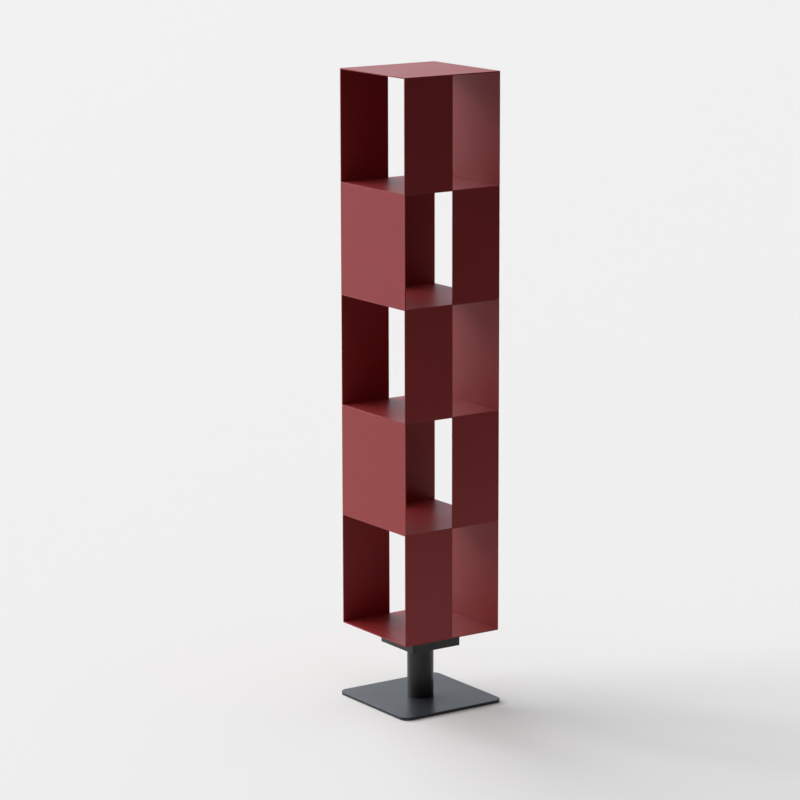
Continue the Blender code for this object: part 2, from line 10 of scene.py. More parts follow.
import bmesh
import bpy
import numpy as np
from mathutils import Matrix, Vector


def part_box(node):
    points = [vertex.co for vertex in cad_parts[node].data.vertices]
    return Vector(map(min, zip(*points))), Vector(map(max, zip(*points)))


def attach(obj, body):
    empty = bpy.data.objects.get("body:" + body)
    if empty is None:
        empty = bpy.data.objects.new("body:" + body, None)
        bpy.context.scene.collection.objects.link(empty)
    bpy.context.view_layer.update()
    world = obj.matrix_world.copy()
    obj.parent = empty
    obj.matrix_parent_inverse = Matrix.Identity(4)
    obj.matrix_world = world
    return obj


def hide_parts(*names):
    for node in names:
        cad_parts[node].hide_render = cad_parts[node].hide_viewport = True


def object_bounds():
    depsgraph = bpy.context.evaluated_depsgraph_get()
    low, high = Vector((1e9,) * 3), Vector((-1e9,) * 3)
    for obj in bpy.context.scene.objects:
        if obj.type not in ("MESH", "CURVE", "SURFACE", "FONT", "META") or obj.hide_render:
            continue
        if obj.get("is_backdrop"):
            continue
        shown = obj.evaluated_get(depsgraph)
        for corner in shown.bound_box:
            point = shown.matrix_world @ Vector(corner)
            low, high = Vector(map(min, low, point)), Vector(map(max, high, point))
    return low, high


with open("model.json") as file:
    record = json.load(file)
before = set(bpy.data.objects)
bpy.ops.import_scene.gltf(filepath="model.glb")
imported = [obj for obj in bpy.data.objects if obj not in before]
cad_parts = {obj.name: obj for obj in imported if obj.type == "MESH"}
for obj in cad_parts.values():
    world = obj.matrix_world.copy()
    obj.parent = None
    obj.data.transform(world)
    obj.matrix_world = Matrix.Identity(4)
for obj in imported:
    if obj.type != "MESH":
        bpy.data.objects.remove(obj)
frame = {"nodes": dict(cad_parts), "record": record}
cad_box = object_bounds()


# Anti-slip mat: a thin sheet of black rubber, die-cut to a square with round corners and a wide round
# hole, which leaves the screws and the nut within reach. It is glued under the base plate.
MAT_CORNER = 0.018
MAT_HOLE_RADIUS = 0.046
MAT_EDGE = 0.0002
MAT_BLACK = (0.012, 0.012, 0.012, 1.0)
MAT_DUST = (0.034, 0.033, 0.031, 1.0)
MAT_DUST_PATCHES = 30.0  # per metre
MAT_PEBBLES = 700.0  # per metre
MAT_PEBBLE_DEPTH = 0.0002
MAT_ROUGHNESS = 0.75
MAT_DUST_ROUGHNESS = 0.2  # added under the thickest dust
ROUND_STEPS = 72  # points round a turned piece
SMOOTH_BELOW = math.radians(35)  # sharper folds in a mesh stay sharp

body_of = {}
for body, nodes in frame["record"]["behaviour"]["bodies"].items():
    body_of.update(dict.fromkeys(nodes, body))


class Shade:
    """A socket in a node tree: arithmetic on it adds Math nodes, and node() adds any other node."""

    def __init__(self, tree, socket=None):
        self.tree = tree
        self.socket = socket

    def node(self, kind, settings, inputs, output=0):
        """Add a node of a type: its settings first, then the values or links of its sockets."""
        node = self.tree.nodes.new(f"ShaderNode{kind}")
        for name, value in settings.items():
            setattr(node, name, value)
        for name, value in inputs.items():
            if isinstance(value, Shade):
                self.tree.links.new(value.socket, node.inputs[name])
            else:
                node.inputs[name].default_value = value
        return Shade(self.tree, node.outputs[output])

    def maths(self, operation, first, second):
        """Add a Math node on two values."""
        return self.node("Math", {"operation": operation}, {0: first, 1: second})

    def __add__(self, other):
        return self.maths("ADD", self, other)

    def __sub__(self, other):
        return self.maths("SUBTRACT", self, other)

    def __rsub__(self, other):
        return self.maths("SUBTRACT", other, self)

    def __mul__(self, other):
        return self.maths("MULTIPLY", self, other)

    __radd__ = __add__
    __rmul__ = __mul__

    def place(self):
        """Places on the piece, in metres."""
        return self.node("TexCoord", {}, {}, output="Object")

    def measure(self, name):
        """A value that the piece's mesh holds for each of its points."""
        return self.node("Attribute", {"attribute_name": name}, {}, output="Fac")

    def noise(self, place, scale, detail=2.0):
        """A noise pattern, with its scale in waves per metre."""
        return self.node("TexNoise", {}, {"Vector": place, "Scale": scale, "Detail": detail})

    def blend(self, share, first, second):
        """Mix two colours by a share from 0 to 1. A Mix node takes colours at its sockets 6 and 7."""
        return self.node("Mix", {"data_type": "RGBA"}, {0: share, 6: first, 7: second}, output=2)

    def bump(self, height, depth):
        """Normals of a surface that a pattern lifts by up to a depth in metres."""
        return self.node("Bump", {}, {"Height": height, "Distance": depth})

    def into(self, shader, name):
        """Feed this socket to an input of a shader."""
        self.tree.links.new(self.socket, shader.inputs[name])


def new_finish(name):
    """Start a material and return it with its shader and its wrapped node tree."""
    material = bpy.data.materials.new(name)
    material.use_nodes = True
    return material, material.node_tree.nodes["Principled BSDF"], Shade(material.node_tree)


def moulded_rubber():
    """Black rubber with a pebbled face and dust in its hollows."""
    material, shader, tree = new_finish("mat_rubber")
    pebbles = tree.node("TexVoronoi", {}, {"Vector": tree.place(), "Scale": MAT_PEBBLES}, "Distance")
    dust = tree.noise(tree.place(), MAT_DUST_PATCHES)
    tree.blend(dust * pebbles, MAT_BLACK, MAT_DUST).into(shader, "Base Color")
    (MAT_ROUGHNESS + MAT_DUST_ROUGHNESS * dust).into(shader, "Roughness")
    tree.bump(1.0 - pebbles, MAT_PEBBLE_DEPTH).into(shader, "Normal")
    return material


def softened(profile, radius, closed=False, steps=4):
    """Round the corners of a profile: a quadratic curve takes each corner's place, from the given distance
    before it to the same distance after it, or half of a side that is too short for that. The third column
    that is added says how bare of paint a point is and how much painted highlight it gets; it rises to 1 in
    the middle of a curve."""
    profile = np.asarray(profile, float)
    back = np.roll(profile, 1, axis=0) - profile
    ahead = np.roll(profile, -1, axis=0) - profile
    back_length = np.linalg.norm(back, axis=1)[:, None]
    ahead_length = np.linalg.norm(ahead, axis=1)[:, None]
    cut = np.minimum(radius, np.minimum(back_length, ahead_length) / 2)
    start = (profile + back / back_length * cut)[:, None]
    end = (profile + ahead / ahead_length * cut)[:, None]
    share = np.linspace(0, 1, steps + 1)[None, :, None]
    curve = (1 - share) ** 2 * start + 2 * share * (1 - share) * profile[:, None] + share ** 2 * end
    bare_and_glint = np.broadcast_to(4 * share * (1 - share), (len(profile), steps + 1, 1))
    points = np.concatenate([curve, bare_and_glint], axis=2)
    if closed:
        return points.reshape(-1, 3)
    return np.vstack([[*profile[0], 0], points[1:-1].reshape(-1, 3), [*profile[-1], 0]])


def carried_round(profile, half_sizes, corner, steps=8):
    """Rows of a profile (inset, height, bare_and_glint) carried round a rectangle with round corners: each
    corner's centre, plus the unit normal times what the inset leaves of the corner's radius."""
    turn = (np.arange(4)[:, None] + np.linspace(0, 1, steps + 1)).ravel() * np.pi / 2
    normal = np.stack([np.cos(turn), np.sin(turn)], axis=1)
    sign = np.repeat([[1, 1], [-1, 1], [-1, -1], [1, -1]], steps + 1, axis=0)
    inset, height, bare_and_glint = np.asarray(profile).T[:, :, None]
    flat = sign * (np.asarray(half_sizes) - corner) + (corner - inset)[:, :, None] * normal
    spread = np.ones(len(turn))
    return np.dstack([flat, height * spread, bare_and_glint * spread])


def turned(profile, steps=ROUND_STEPS, hexness=0.0):
    """Rows of a profile (radius, height, bare_and_glint) turned about Z. Where hexness is 1, the profile's
    radius is that of a hexagon's corners, and the radius at any angle is that one, times the cosine of 30
    degrees, over the cosine of the angle from the middle of the side."""
    angle = np.arange(steps) * 2 * np.pi / steps
    hexagon = math.cos(np.pi / 6) / np.cos(angle % (np.pi / 3) - np.pi / 6)
    radius, height, bare_and_glint = np.asarray(profile).T[:, :, None]
    share = np.broadcast_to(hexness, len(radius))[:, None]
    reach = radius * (1 + share * (hexagon - 1))
    spread = np.ones(steps)
    return np.dstack([reach * np.cos(angle), reach * np.sin(angle), height * spread, bare_and_glint * spread])


def pierced(low, high, edge, corner, hole, hole_edge, steps=8):
    """Rows of a plate that fills a box and has a round hole: the section of its edge, carried round its
    outline from below, and then the section of the hole's edge, turned from above. Each section runs from
    face to face, and reaches in on the faces by twice the rounding of its corners."""
    ledge = 2 * edge
    section = softened([(ledge, low.z), (0, low.z), (0, high.z), (ledge, high.z)], edge)
    rim_rows = carried_round(section, high.xy, corner, steps)
    ledge = hole + 2 * hole_edge
    section = softened([(ledge, high.z), (hole, high.z), (hole, low.z), (ledge, low.z)], hole_edge)
    return np.vstack([rim_rows, turned(section, steps=rim_rows.shape[1])])


def smooth(mesh):
    """Shade a mesh smooth, apart from its sharp folds."""
    mesh.shade_smooth()
    mesh.set_sharp_from_angle(angle=SMOOTH_BELOW)


def skinned(name, surfaces, finish, closed=False):
    """Skin surfaces of rows that close on themselves, with quads from row to row. The last row meets the
    first one on a closed surface, and otherwise a flat face fills either end. Each point keeps how bare of
    paint it is and how much painted highlight it gets, and how far along its profile it lies, as the sum of
    the steps from row to row."""
    points, faces, along = [], [], []
    start = 0
    for rows in surfaces:
        count, steps = rows.shape[:2]
        index = start + np.arange(count * steps).reshape(count, steps)
        start += count * steps
        walk = np.linalg.norm(np.diff(rows[:, 0, :3], axis=0), axis=1)
        along.append(np.repeat(np.append(0.0, np.cumsum(walk)), steps))
        points.append(rows.reshape(-1, 4))
        if closed:
            index = np.vstack([index, index[:1]])
        else:
            faces += [index[0, ::-1].tolist(), index[-1].tolist()]
        after = np.roll(index, -1, axis=1)
        quads = np.stack([index[:-1], after[:-1], after[1:], index[1:]], axis=-1)
        faces += quads.reshape(-1, 4).tolist()
    points = np.vstack(points).astype(np.float32)
    mesh = bpy.data.meshes.new(name)
    mesh.from_pydata(points[:, :3], [], faces)
    mesh.attributes.new("bare_and_glint", "FLOAT", "POINT").data.foreach_set("value", points[:, 3].copy())
    mesh.attributes.new("along", "FLOAT", "POINT").data.foreach_set("value", np.concatenate(along))
    smooth(mesh)
    mesh.materials.append(finish)
    piece = bpy.data.objects.new(name, mesh)
    bpy.context.scene.collection.objects.link(piece)
    return piece


def show_for(piece, node):
    """Show a piece instead of a node of the frame: it rides on the node's body."""
    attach(piece, body_of[node])
    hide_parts(node)


mat_rows = pierced(*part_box("floor_mat"), MAT_EDGE, MAT_CORNER, MAT_HOLE_RADIUS, MAT_EDGE)
floor_mat = skinned("floor_mat_cut", [mat_rows], moulded_rubber(), closed=True)
show_for(floor_mat, "floor_mat")


# Base plate: 8 mm steel, laser-cut to a square with round corners. Its edges are ground, its underside is
# countersunk for the foot screws, and it has a satin powder coat in black. The cast of blue in its colour
# is painted reflection, standing in for the bluish sheen on its top.
PLATE_CORNER = 0.026
PLATE_CORNER_STEPS = 16
PLATE_EDGE = 0.0010
HOLE_EDGE = 0.0004
NUT_ROOM = 0.002  # between the nut and the hole that it turns in
M8_RADIUS = 0.004
SCREW_ROOM = 0.00045  # round a screw in its hole
DRILL_PAST = 0.002  # how far a drill reaches out of what it cuts
CUT_MERGE = 0.000001  # points of a cut that lie closer than this are one
TIP_UP = Matrix.Rotation(math.pi, 3, "X")
# Both plate colours carry a cast of blue that is painted reflection, for the bluish sheen on the top.
PLATE_BLACK_WITH_PAINTED_BLUE = (0.033, 0.038, 0.046)
PLATE_WORN_AND_GLINT = (0.037, 0.042, 0.050)
PLATE_INDEX = 1.35  # of refraction
BLACK_ROUGHNESS = 0.36
BLACK_PEEL = 700.0  # bumps per metre
PEEL_DEPTH = 0.00003
PEEL_ROUGHNESS = 0.06  # from the bumps to the hollows
COAT_CLOUDS = 9.0  # per metre
COAT_DEEPER = 0.93  # of the colour, where its tone is deepest
CLOUD_SHARE = 0.6  # of the changes in tone; the rest come from the peel
CLOUD_ROUGHNESS = 0.10  # from cloud to cloud
EDGE_WEAR_AND_GLINT = 0.35  # of the paint on an edge, where it is worn thin and a painted highlight lies
EDGE_WEAR_AND_GLINT_PEEL = 0.5  # more of it on the bumps of the peel
FINE_DETAIL = 3.0  # octaves of a fine noise
NOISE_MEAN = 0.5


def powder_coat(name, colour, worn_and_glint_colour, index, roughness, peel_scale):
    """Sprayed and baked paint: faint clouds of tone, a fine orange peel, and a lighter colour on the
    rounded edges, which is partly thinner paint and partly a painted highlight.
    """
    material, shader, tree = new_finish(name)
    cloud = tree.noise(tree.place(), COAT_CLOUDS)
    peel = tree.noise(tree.place(), peel_scale, FINE_DETAIL)
    tone = CLOUD_SHARE * cloud + (1 - CLOUD_SHARE) * peel
    deeper = [COAT_DEEPER * part for part in colour]
    coat = tree.blend(tone, (*deeper, 1.0), (*colour, 1.0))
    # The rounded edges take a lighter colour: partly paint worn thin, partly a painted highlight.
    wear_and_glint = tree.measure("bare_and_glint") * (EDGE_WEAR_AND_GLINT + EDGE_WEAR_AND_GLINT_PEEL * peel)
    tree.blend(wear_and_glint, coat, (*worn_and_glint_colour, 1.0)).into(shader, "Base Color")
    unevenness = CLOUD_ROUGHNESS * (cloud - NOISE_MEAN) + PEEL_ROUGHNESS * (peel - NOISE_MEAN)
    (roughness + unevenness).into(shader, "Roughness")
    tree.bump(peel, PEEL_DEPTH).into(shader, "Normal")
    shader.inputs["IOR"].default_value = index
    return material


def sharp(profile):
    """A profile (radius, height) with its corners as they are, none of its points bare of paint and none
    given a painted highlight.
    """
    return np.pad(profile, ((0, 0), (0, 1)))


def placed(rows, turn, place):
    """Rows turned by a matrix and then moved to their place."""
    return np.dstack([rows[..., :3] @ np.array(turn).T + np.array(place), rows[..., 3]])


def numbered(group):
    """The frame's nodes whose names start with a group's name, in order."""
    return sorted(node for node in frame["nodes"] if node.startswith(group))


def foot_seats():
    """Where each foot screw sits: its name, the middle of its head's flat, its head's radius and its
    length."""
    for name in numbered("foot_screw"):
        low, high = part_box(name)
        middle = (low + high) / 2
        middle.z = low.z
        yield name, middle, (high.x - low.x) / 2, high.z - low.z


def drill(node, profile, turn, place):
    """A drill for a node's hole: a profile (radius, height), turned about Z and put in its place. What it
    cuts keeps its own finish, so the drill's doesn't show."""
    return skinned(f"{node}_drill", [placed(turned(sharp(profile)), turn, place)], plate_coat)


def drilled(piece, drills):
    """Cut drills out of a piece, and merge the points that a cut leaves on top of each other."""
    for cutter in drills:
        piece.modifiers.new("hole", "BOOLEAN").object = cutter
    shape = bmesh.new()
    shape.from_object(piece, bpy.context.evaluated_depsgraph_get())
    bmesh.ops.remove_doubles(shape, verts=shape.verts, dist=CUT_MERGE)
    piece.modifiers.clear()
    shape.to_mesh(piece.data)
    shape.free()
    smooth(piece.data)


def put_away(drills):
    """Take drills out of the scene."""
    for cutter in drills:
        bpy.data.objects.remove(cutter)


plate_coat = powder_coat(
    "base_plate_coat", PLATE_BLACK_WITH_PAINTED_BLUE, PLATE_WORN_AND_GLINT, PLATE_INDEX, BLACK_ROUGHNESS, BLACK_PEEL
)
nut_low, nut_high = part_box("spindle_nut")
nut_hole = nut_high.y + NUT_ROOM
plate_rows = pierced(
    *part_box("base_plate"), PLATE_EDGE, PLATE_CORNER, nut_hole, HOLE_EDGE, PLATE_CORNER_STEPS
)
base_plate = skinned("base_plate_coated", [plate_rows], plate_coat, closed=True)
shank = M8_RADIUS + SCREW_ROOM
foot_drills = []
for name, place, head, length in foot_seats():
    mouth = head + SCREW_ROOM
    profile = [(shank, -length - DRILL_PAST), (shank, M8_RADIUS - head), (mouth, 0), (mouth, DRILL_PAST)]
    foot_drills.append(drill(name, profile, TIP_UP, place))
drilled(base_plate, foot_drills)
put_away(foot_drills)
show_for(base_plate, "base_plate")


# Foot screws: four countersunk M8 screws with hexagonal sockets, of zinc-plated steel. They come up through
# the base plate from below and hold the post's foot.
SCREW_RIM = 0.0003
SCREW_TIP = 0.0008
M8_PITCH = 0.00125
M8_DEPTH = 0.0007  # of the thread
THREAD_ROWS = 10  # per turn
SOCKET_RADIUS = 0.0028  # to a corner of the hexagon
SOCKET_DEPTH = 0.0025
SOCKET_BREAK = 0.0002
SOCKET_LEAD = 0.0005  # depth of the broken mouth
ZINC_BRIGHT = (0.58, 0.58, 0.56, 1.0)
ZINC_DULL = (0.36, 0.36, 0.35, 1.0)
ZINC_ROUGHNESS = 0.35
ZINC_MARKS = 3000.0  # per metre
MARKS_SHARE = 0.5  # of the changes in tone; the rest come from the stains
MARKS_DEPTH = 0.000005
MARKS_ROUGHNESS = 0.2  # from mark to mark
STAINS = 60.0  # per metre
STAIN_ROUGHNESS = 0.1  # from stain to stain


def turned_steel(name, bright, dull, roughness, marks_scale):
    """Machined steel: fine tool marks round the piece, from noise along its profile, and a few dull
    stains."""
    material, shader, tree = new_finish(name)
    marks_inputs = {"W": tree.measure("along"), "Scale": marks_scale, "Detail": FINE_DETAIL}
    marks = tree.node("TexNoise", {"noise_dimensions": "1D"}, marks_inputs)
    stain = tree.noise(tree.place(), STAINS)
    tone = MARKS_SHARE * marks + (1 - MARKS_SHARE) * stain
    tree.blend(tone, dull, bright).into(shader, "Base Color")
    unevenness = MARKS_ROUGHNESS * (marks - NOISE_MEAN) + STAIN_ROUGHNESS * (stain - NOISE_MEAN)
    (roughness + unevenness).into(shader, "Roughness")
    tree.bump(marks, MARKS_DEPTH).into(shader, "Normal")
    shader.inputs["Metallic"].default_value = 1.0
    return material


def threaded(radius, low, high, pitch, depth, chamfer):
    """Rows of a thread that runs up from a chamfered end: its radius falls and rises once a pitch along the
    axis and once a turn round it, and its depth fades out at both ends."""
    height = np.linspace(low, high, math.ceil((high - low) / pitch * THREAD_ROWS))
    reach = radius - np.clip(low + chamfer - height, 0, None)
    rows = turned(sharp(np.stack([reach, height], axis=1)))
    angle = np.arctan2(rows[..., 1], rows[..., 0])
    phase = (height[:, None] / pitch - angle / (2 * np.pi)) % 1
    fade = np.clip((high - height) / pitch, 0, 1) * np.clip((height - low) / chamfer, 0, 1)
    groove = depth * fade[:, None] * (1 - np.abs(2 * phase - 1))
    rows[..., :2] *= (1 - groove / reach[:, None])[..., None]
    return rows


def socketed(profile, socket, depth):
    """Rows of a turned screw with a hexagonal socket in its flat end: the profile, then the socket's round
    mouth, its six-sided wall and its floor."""
    flat = profile[-1][1]
    mouth = [(socket + SOCKET_BREAK, flat), (socket, flat - SOCKET_LEAD), (socket, flat - depth)]
    hexness = [0.0] * len(profile) + [0.0, 1.0, 1.0]
    return turned(sharp([*profile, *mouth]), hexness=hexness)


def countersunk(head, length):
    """Rows of a countersunk screw with its head's flat at z = 0: threaded shank, cone, rim and socket."""
    thread_rows = threaded(M8_RADIUS, -length, M8_RADIUS - head, M8_PITCH, M8_DEPTH, SCREW_TIP)
    rim_profile = [(head, -SCREW_RIM), (head - SCREW_RIM, 0)]
    return np.vstack([thread_rows, socketed(rim_profile, SOCKET_RADIUS, SOCKET_DEPTH)])


zinc = turned_steel("zinc_plated_screw", ZINC_BRIGHT, ZINC_DULL, ZINC_ROUGHNESS, ZINC_MARKS)
for name, place, head, length in foot_seats():
    rows = placed(countersunk(head, length), TIP_UP, place)
    show_for(skinned(f"{name}_plated", [rows], zinc), name)


# Post foot: a plug turned from steel bar that fills the lower end of the post. It has four tapped holes, a
# pocket for the washer and a seat for the lower bush, and nobody sees it, so its plain solid stays.
STEEL_BRIGHT = (0.60, 0.60, 0.59, 1.0)
STEEL_DULL = (0.44, 0.44, 0.43, 1.0)
STEEL_ROUGHNESS = 0.30
STEEL_MARKS = 2500.0  # per metre

bar_steel = turned_steel("turned_steel", STEEL_BRIGHT, STEEL_DULL, STEEL_ROUGHNESS, STEEL_MARKS)
foot_materials = frame["nodes"]["post_foot"].data.materials
foot_materials.clear()
foot_materials.append(bar_steel)


# Post: a stock steel tube 76 mm across, sawn square, with three holes near its upper end. It has the same
# satin black coat as the cover, and stands on the base plate over the foot.
POST_WALL = 0.003
POST_EDGE = 0.0006
POST_STEPS = 96
GRUB_ROOM = 0.0003
GRUB_RADIUS = 0.003
GRUB_LENGTH = 0.008
POST_BLACK = (0.029, 0.029, 0.030)
# Lighter edge colour: partly wear, partly a painted highlight.
POST_WORN_AND_GLINT = (0.050, 0.052, 0.054)
POST_INDEX = 1.39


def ring_rows(outside, bore, bottom, top, edge, steps=ROUND_STEPS):
    """Rows of a ring: a rectangle between two radii and two heights, its corners rounded, turned about Z."""
    section = [(outside, bottom), (outside, top), (bore, top), (bore, bottom)]
    return turned(softened(section, edge, closed=True), steps)


def grub_seats():
    """Where each grub screw sits: its name, the turn that lays its axis outwards, and its middle."""
    lying = Matrix.Rotation(math.pi / 2, 3, "Y")
    for name in numbered("grub_screw"):
        low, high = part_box(name)
        middle = (low + high) / 2
        outwards = Matrix.Rotation(math.atan2(middle.y, middle.x), 3, "Z") @ lying
        yield name, outwards, middle


black_coat = powder_coat(
    "black_powder_coat", POST_BLACK, POST_WORN_AND_GLINT, POST_INDEX, BLACK_ROUGHNESS, BLACK_PEEL
)
tube_low, tube_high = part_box("post_tube")
post_radius = tube_high.x
post_bore = post_radius - POST_WALL
tube_rows = ring_rows(post_radius, post_bore, tube_low.z, tube_high.z, POST_EDGE, POST_STEPS)
post_tube = skinned("post_tube_coated", [tube_rows], black_coat, closed=True)
grub_hole = GRUB_RADIUS + GRUB_ROOM
grub_end = GRUB_LENGTH / 2
grub_profile = [(grub_hole, -grub_end - GRUB_ROOM), (grub_hole, grub_end + GRUB_ROOM + DRILL_PAST)]
grub_drills = [drill(name, grub_profile, outwards, middle) for name, outwards, middle in grub_seats()]
drilled(post_tube, grub_drills)
show_for(post_tube, "post_tube")


# Post head: a flanged plug turned from steel bar, which closes the upper end of the post. Its rim lies on
# the tube's end, and its bore holds the upper bush on a ledge.
FIT = 0.0003  # between turned pieces that fit in each other
SPINDLE_ROOM = 0.001
BUSH_LEDGE = 0.003
TURNED_EDGE = 0.0005

low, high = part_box("post_head")
spindle_low, spindle_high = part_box("spindle")
rim_height = tube_high.z + FIT
plug_radius = post_bore - FIT
bush_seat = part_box("upper_bush")[1].x + FIT
spindle_hole = spindle_high.x + SPINDLE_ROOM
ledge_height = low.z + BUSH_LEDGE
head_profile = [
    (plug_radius, low.z), (plug_radius, rim_height), (post_radius, rim_height), (post_radius, high.z),
    (bush_seat, high.z), (bush_seat, ledge_height), (spindle_hole, ledge_height), (spindle_hole, low.z),
]
head_rows = turned(softened(head_profile, TURNED_EDGE, closed=True))
post_head = skinned("post_head_turned", [head_rows], bar_steel, closed=True)
drilled(post_head, grub_drills)
put_away(grub_drills)
show_for(post_head, "post_head")


# Grub screws: three short headless screws with hexagonal sockets, of zinc-plated steel. They go through the
# tube's wall into the head and hold it.
GRUB_SOCKET_RADIUS = 0.0017
GRUB_PITCH = 0.001
GRUB_DEPTH = 0.0006  # of the thread

grub_thread = threaded(GRUB_RADIUS, -grub_end, grub_end - SCREW_RIM, GRUB_PITCH, GRUB_DEPTH, SCREW_TIP)
grub_socket = socketed([(GRUB_RADIUS - SCREW_RIM, grub_end)], GRUB_SOCKET_RADIUS, SOCKET_DEPTH)
grub_rows = np.vstack([grub_thread, grub_socket])
for name, outwards, middle in grub_seats():
    show_for(skinned(f"{name}_plated", [placed(grub_rows, outwards, middle)], zinc), name)


# Bushes: two plain bearing sleeves of cream-coloured moulded polymer, pressed into the foot and the head.
# They guide the spindle.
BUSH_EDGE = 0.0004
CREAM = (0.62, 0.58, 0.48, 1.0)
CREAM_SHADE = (0.54, 0.50, 0.40, 1.0)
CREAM_CLOUDS = 120.0  # per metre
MOULD_GRAIN = 2400.0  # per metre
MOULD_GRAIN_DEPTH = 0.00001
BUSH_ROUGHNESS = 0.45
MOULD_GRAIN_ROUGHNESS = 0.2  # added on top of the grain


def bearing_polymer():
    """Moulded polymer: soft clouds of tone and a faint grain from the mould."""
    material, shader, tree = new_finish("bearing_polymer")
    cloud = tree.noise(tree.place(), CREAM_CLOUDS)
    grain = tree.noise(tree.place(), MOULD_GRAIN)
    tree.blend(cloud, CREAM_SHADE, CREAM).into(shader, "Base Color")
    (BUSH_ROUGHNESS + MOULD_GRAIN_ROUGHNESS * grain).into(shader, "Roughness")
    tree.bump(grain, MOULD_GRAIN_DEPTH).into(shader, "Normal")
    return material


polymer = bearing_polymer()
bush_bore = spindle_high.x + FIT
for name in ("lower_bush", "upper_bush"):
    low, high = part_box(name)
    rows = ring_rows(high.x, bush_bore, low.z, high.z, BUSH_EDGE)
    show_for(skinned(f"{name}_moulded", [rows], polymer, closed=True), name)


# Thrust bearing: two ground steel rings with a round groove, and twelve polished balls that a flat pressed
# ring keeps apart. It carries the whole tower on the head of the post.
BALL_COUNT = 12
BALL_START = math.radians(45)  # of the first ball, round the axis
BALL_STEPS = 24
BALL_POLE = 0.05  # radians of each pole that a flat face fills
CAGE_THICKNESS = 0.0024
RACE_EDGE = 0.0003
GROOVE_STEPS = 10
UPRIGHT = Matrix.Identity(3)
POLISHED = (0.66, 0.66, 0.66, 1.0)
POLISHED_SHADE = (0.58, 0.58, 0.59, 1.0)
POLISHED_ROUGHNESS = 0.16
POLISHED_MARKS = 4000.0  # per metre

cage_low, cage_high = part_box("ball_cage")
ball_height = (cage_low.z + cage_high.z) / 2
ball_radius = (cage_high.z - cage_low.z) / 2
race_bore = bush_seat
race_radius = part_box("lower_race")[1].x
ball_circle = (race_bore + race_radius) / 2


def race_rows(bore, plain, grooved):
    """Rows of a race: its square section with an arc round the balls' circle cut into one face. The arc has
    the balls' radius and a little room, from lip to lip. The groove of the upper race opens downwards, so
    its section is run the other way, which keeps its faces pointing out."""
    side = math.copysign(1.0, plain - grooved)
    groove = ball_radius + FIT
    lip = math.asin(abs(grooved - ball_height) / groove)
    sweep = np.linspace(lip, math.pi - lip, GROOVE_STEPS)
    arc_radius = ball_circle + groove * np.cos(sweep)
    arc_height = ball_height + side * groove * np.sin(sweep)
    arc = np.stack([arc_radius, arc_height], axis=1)
    section = np.vstack([(race_radius, plain), (race_radius, grooved), arc, (bore, grooved), (bore, plain)])
    if side > 0:
        section = section[::-1]
    return turned(softened(section, RACE_EDGE, closed=True))


polished = turned_steel(
    "polished_bearing_steel", POLISHED, POLISHED_SHADE, POLISHED_ROUGHNESS, POLISHED_MARKS
)
low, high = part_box("lower_race")
lower_rows = race_rows(race_bore, low.z, high.z)
show_for(skinned("lower_race_ground", [lower_rows], polished, closed=True), "lower_race")
low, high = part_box("upper_race")
upper_rows = race_rows(bush_bore, high.z, low.z)
show_for(skinned("upper_race_ground", [upper_rows], polished, closed=True), "upper_race")

sweep = np.linspace(BALL_POLE, math.pi - BALL_POLE, BALL_STEPS // 2)
ball_profile = np.stack([ball_radius * np.sin(sweep), -ball_radius * np.cos(sweep)], axis=1)
ball_rows = turned(sharp(ball_profile), BALL_STEPS)
balls = []
for turn in BALL_START + np.arange(BALL_COUNT) * 2 * math.pi / BALL_COUNT:
    place = (ball_circle * math.cos(turn), ball_circle * math.sin(turn), ball_height)
    balls.append(placed(ball_rows, UPRIGHT, place))
show_for(skinned("ball_cage_balls", balls, polished), "ball_cage")

cage_bore = 2 * ball_circle - cage_high.x
cage_bottom = ball_height - CAGE_THICKNESS / 2
cage_top = ball_height + CAGE_THICKNESS / 2
cage_rows = ring_rows(cage_high.x, cage_bore, cage_bottom, cage_top, RACE_EDGE)
show_for(skinned("ball_cage_ring", [cage_rows], bar_steel, closed=True), "ball_cage")


# Spindle: a steel shaft turned from bar, which hangs from the flange through both bushes. A washer and a nut
# on its threaded end keep the tower from being lifted off.
THREAD_RADIUS = 0.008
THREAD_PITCH = 0.002
THREAD_DEPTH = 0.0011
SPINDLE_CHAMFER = 0.001
WASHER_EDGE = 0.0004
NUT_FACE = 0.975  # of the distance to a flat
NUT_CHAMFER = math.tan(math.radians(30))  # its height over its width
NUT_MOUTH = 0.1  # of the bore's radius
CORNER_TO_Y = Matrix.Rotation(math.pi / 2, 3, "Z")


def hexagon_nut(low, high, bore):
    """Rows of a nut that fills a box, with two corners along Y: from its lower face up the chamfered hexagon
    to its upper face, and down the round bore, whose mouths are broken."""
    middle = (low + high) / 2
    corner = high.y - middle.y
    face = NUT_FACE * (high.x - middle.x)
    chamfer = NUT_CHAMFER * (corner - face)
    mouth = NUT_MOUTH * bore
    profile = [
        (face, low.z), (corner, low.z + chamfer), (corner, high.z - chamfer), (face, high.z),
        (bore + mouth, high.z), (bore, high.z - mouth), (bore, low.z + mouth), (bore + mouth, low.z),
    ]
    rows = turned(sharp(profile), hexness=[0, 1, 1, 0, 0, 0, 0, 0])
    return placed(rows, CORNER_TO_Y, (middle.x, middle.y, 0))


washer_low, washer_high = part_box("spindle_washer")
shoulder = washer_high.z + FIT
thread_rows = threaded(
    THREAD_RADIUS, spindle_low.z, shoulder, THREAD_PITCH, THREAD_DEPTH, SPINDLE_CHAMFER
)
shaft_profile = [(spindle_high.x, shoulder), (spindle_high.x, spindle_high.z - SPINDLE_CHAMFER),
                 (spindle_high.x - SPINDLE_CHAMFER, spindle_high.z)]
spindle_rows = np.vstack([thread_rows, turned(sharp(shaft_profile))])
show_for(skinned("spindle_turned", [spindle_rows], bar_steel), "spindle")

